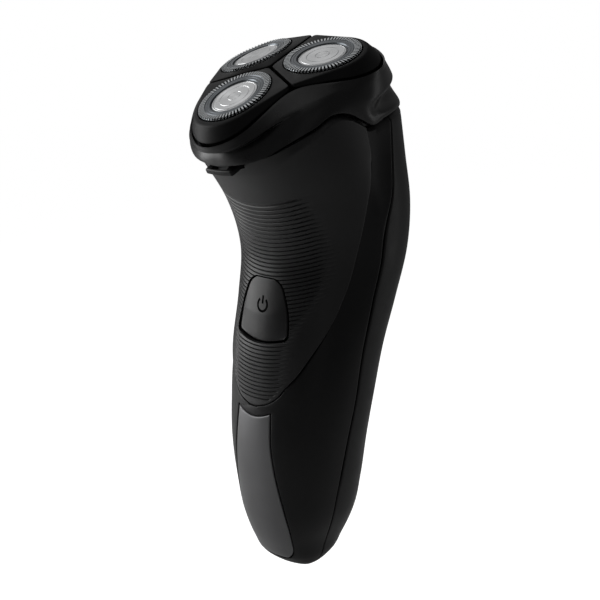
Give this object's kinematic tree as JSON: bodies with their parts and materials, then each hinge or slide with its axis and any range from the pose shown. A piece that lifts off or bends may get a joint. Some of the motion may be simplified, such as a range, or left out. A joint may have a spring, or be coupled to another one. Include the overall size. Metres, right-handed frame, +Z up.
{
  "type": "electric shaver",
  "caption": "Cordless rotary electric shaver with tilting head pods, floating slotted caps, geared drive, opening head and ribbed grip panel.",
  "frame": {"origin": "centre of the power inlet's mouth, on the bottom end of the handle", "axes": "+Z up the handle towards the shaving head, -Y the front with the button, +X to the right when the button side is faced; the left and right halves mirror in X"},
  "size_m": [0.06, 0.0731, 0.1656],
  "materials": {
    "black_gloss": "gloss",
    "black_satin": "satin",
    "grip_soft": "matt",
    "plate_charcoal": "satin",
    "pod_black": "satin",
    "cap_steel": "brushed",
    "cap_bright": "brushed",
    "steel": "bright",
    "ivory": "satin",
    "brass": "bright",
    "cell": "gloss",
    "board": "satin"
  },
  "bodies": {
    "handle": {"front_shell": "black_satin", "rear_shell": "black_satin", "grip_panel": "grip_soft", "front_plate": "plate_charcoal", "shoulder_ring": "black_satin", "coupling_plate": "black_satin", "coupling_plate_screws": "steel", "gear_tray": "ivory", "motor": "steel", "inner_frame": "ivory", "battery_cell_right": "cell", "battery_cell_left": "cell", "battery_straps": "steel", "circuit_board": "board", "button_switch": "black_satin", "power_socket": "black_satin", "inlet_pins": "steel", "hinge_pin": "steel"},
    "power_button": {"power_button": "grip_soft", "switch_plunger": "ivory"},
    "release_button": {"release_button": "black_satin"},
    "motor_shaft": {"motor_pinion": "brass"},
    "head": {"head_housing": "black_gloss", "latch_tongue": "black_satin", "retaining_frame": "black_satin"},
    "lock_wheel": {"lock_wheel": "ivory"},
    "drive_gear_front": {"drive_gear_front": "ivory", "shaft_clip_front": "steel", "coupler_spring_front": "steel"},
    "coupler_front": {"coupler_front": "ivory"},
    "pod_front": {"pod_front": "pod_black"},
    "cap_front": {"cap_front": "cap_steel", "cap_disc_front": "cap_bright"},
    "cutter_front": {"cutter_front": "steel"},
    "drive_gear_right": {"drive_gear_right": "ivory", "shaft_clip_right": "steel", "coupler_spring_right": "steel"},
    "coupler_right": {"coupler_right": "ivory"},
    "pod_right": {"pod_right": "pod_black"},
    "cap_right": {"cap_right": "cap_steel", "cap_disc_right": "cap_bright"},
    "cutter_right": {"cutter_right": "steel"},
    "drive_gear_left": {"drive_gear_left": "ivory", "shaft_clip_left": "steel", "coupler_spring_left": "steel"},
    "coupler_left": {"coupler_left": "ivory"},
    "pod_left": {"pod_left": "pod_black"},
    "cap_left": {"cap_left": "cap_steel", "cap_disc_left": "cap_bright"},
    "cutter_left": {"cutter_left": "steel"}
  },
  "joints": [
    {"name": "head_hinge", "type": "hinge", "parent": "handle", "child": "head", "pos_m": [0, 0.0298, 0.1472], "axis": [-1, 0, 0], "range_deg": [0, 95]},
    {"name": "power_button_press", "type": "slide", "parent": "handle", "child": "power_button", "axis": [0, 1, 0], "range_m": [0, 0.0006], "stiffness_N_per_m": 2000, "springref_m": -0.0005},
    {"name": "release_button_press", "type": "slide", "parent": "handle", "child": "release_button", "axis": [0, 0.8746, 0.4848], "range_m": [0, 0.001], "stiffness_N_per_m": 1500, "springref_m": -0.001},
    {"name": "motor_shaft_spin", "type": "hinge", "parent": "handle", "child": "motor_shaft", "pos_m": [0, -0.00403, 0.14288], "axis": [0, -0.4848, 0.8746], "continuous": true},
    {"name": "lock_wheel_turn", "type": "hinge", "parent": "head", "child": "lock_wheel", "pos_m": [0, -0.00597, 0.14638], "axis": [0, -0.4848, 0.8746], "range_deg": [0, 90]},
    {"name": "drive_gear_front_spin", "type": "hinge", "parent": "handle", "child": "drive_gear_front", "pos_m": [0, -0.01732, 0.13551], "axis": [0, -0.4848, 0.8746], "continuous": true},
    {"name": "coupler_front_slide", "type": "slide", "parent": "drive_gear_front", "child": "coupler_front", "axis": [0, 0.4848, -0.8746], "range_m": [0, 0.001], "deforming": ["coupler_spring_front"]},
    {"name": "pod_front_tilt", "type": "hinge", "parent": "head", "child": "pod_front", "pos_m": [0, -0.02088, 0.1444], "axis": [1, 0, 0], "range_deg": [-4, 4], "stiffness_Nm_per_rad": 0.15},
    {"name": "cap_front_float", "type": "slide", "parent": "pod_front", "child": "cap_front", "axis": [0, 0.5835, -0.8121], "range_m": [0, 0.001], "stiffness_N_per_m": 300, "springref_m": -0.002},
    {"name": "cutter_front_spin", "type": "hinge", "parent": "cap_front", "child": "cutter_front", "pos_m": [0, -0.02529, 0.14824], "axis": [0, -0.5835, 0.8121], "continuous": true},
    {"name": "drive_gear_right_spin", "type": "hinge", "parent": "handle", "child": "drive_gear_right", "pos_m": [0.01316, 0.00262, 0.14657], "axis": [0, -0.4848, 0.8746], "continuous": true},
    {"name": "coupler_right_slide", "type": "slide", "parent": "drive_gear_right", "child": "coupler_right", "axis": [0, 0.4848, -0.8746], "range_m": [0, 0.001], "deforming": ["coupler_spring_right"]},
    {"name": "pod_right_tilt", "type": "hinge", "parent": "head", "child": "pod_right", "pos_m": [0.01212, -0.00251, 0.15458], "axis": [-0.5, 0.7574, 0.4199], "range_deg": [-4, 4], "stiffness_Nm_per_rad": 0.15},
    {"name": "cap_right_float", "type": "slide", "parent": "pod_right", "child": "cap_right", "axis": [-0.101, 0.4305, -0.8969], "range_m": [0, 0.001], "stiffness_N_per_m": 300, "springref_m": -0.002},
    {"name": "cutter_right_spin", "type": "hinge", "parent": "cap_right", "child": "cutter_right", "pos_m": [0.01386, -0.0043, 0.15988], "axis": [0.101, -0.4305, 0.8969], "continuous": true},
    {"name": "drive_gear_left_spin", "type": "hinge", "parent": "handle", "child": "drive_gear_left", "pos_m": [-0.01316, 0.00262, 0.14657], "axis": [0, -0.4848, 0.8746], "continuous": true},
    {"name": "coupler_left_slide", "type": "slide", "parent": "drive_gear_left", "child": "coupler_left", "axis": [0, 0.4848, -0.8746], "range_m": [0, 0.001], "deforming": ["coupler_spring_left"]},
    {"name": "pod_left_tilt", "type": "hinge", "parent": "head", "child": "pod_left", "pos_m": [-0.01212, -0.00251, 0.15458], "axis": [-0.5, -0.7574, -0.4199], "range_deg": [-4, 4], "stiffness_Nm_per_rad": 0.15},
    {"name": "cap_left_float", "type": "slide", "parent": "pod_left", "child": "cap_left", "axis": [0.101, 0.4305, -0.8969], "range_m": [0, 0.001], "stiffness_N_per_m": 300, "springref_m": -0.002},
    {"name": "cutter_left_spin", "type": "hinge", "parent": "cap_left", "child": "cutter_left", "pos_m": [-0.01386, -0.0043, 0.15988], "axis": [-0.101, -0.4305, 0.8969], "continuous": true}
  ],
  "couplings": [
    {"joint": "drive_gear_front_spin", "follows": "motor_shaft_spin", "ratio": -0.72727},
    {"joint": "cutter_front_spin", "follows": "motor_shaft_spin", "ratio": -0.72727},
    {"joint": "coupler_front_slide", "follows": "cap_front_float", "ratio": 1},
    {"joint": "drive_gear_right_spin", "follows": "motor_shaft_spin", "ratio": -0.72727},
    {"joint": "cutter_right_spin", "follows": "motor_shaft_spin", "ratio": -0.72727},
    {"joint": "coupler_right_slide", "follows": "cap_right_float", "ratio": 1},
    {"joint": "drive_gear_left_spin", "follows": "motor_shaft_spin", "ratio": -0.72727},
    {"joint": "cutter_left_spin", "follows": "motor_shaft_spin", "ratio": -0.72727},
    {"joint": "coupler_left_slide", "follows": "cap_left_float", "ratio": 1}
  ]
}
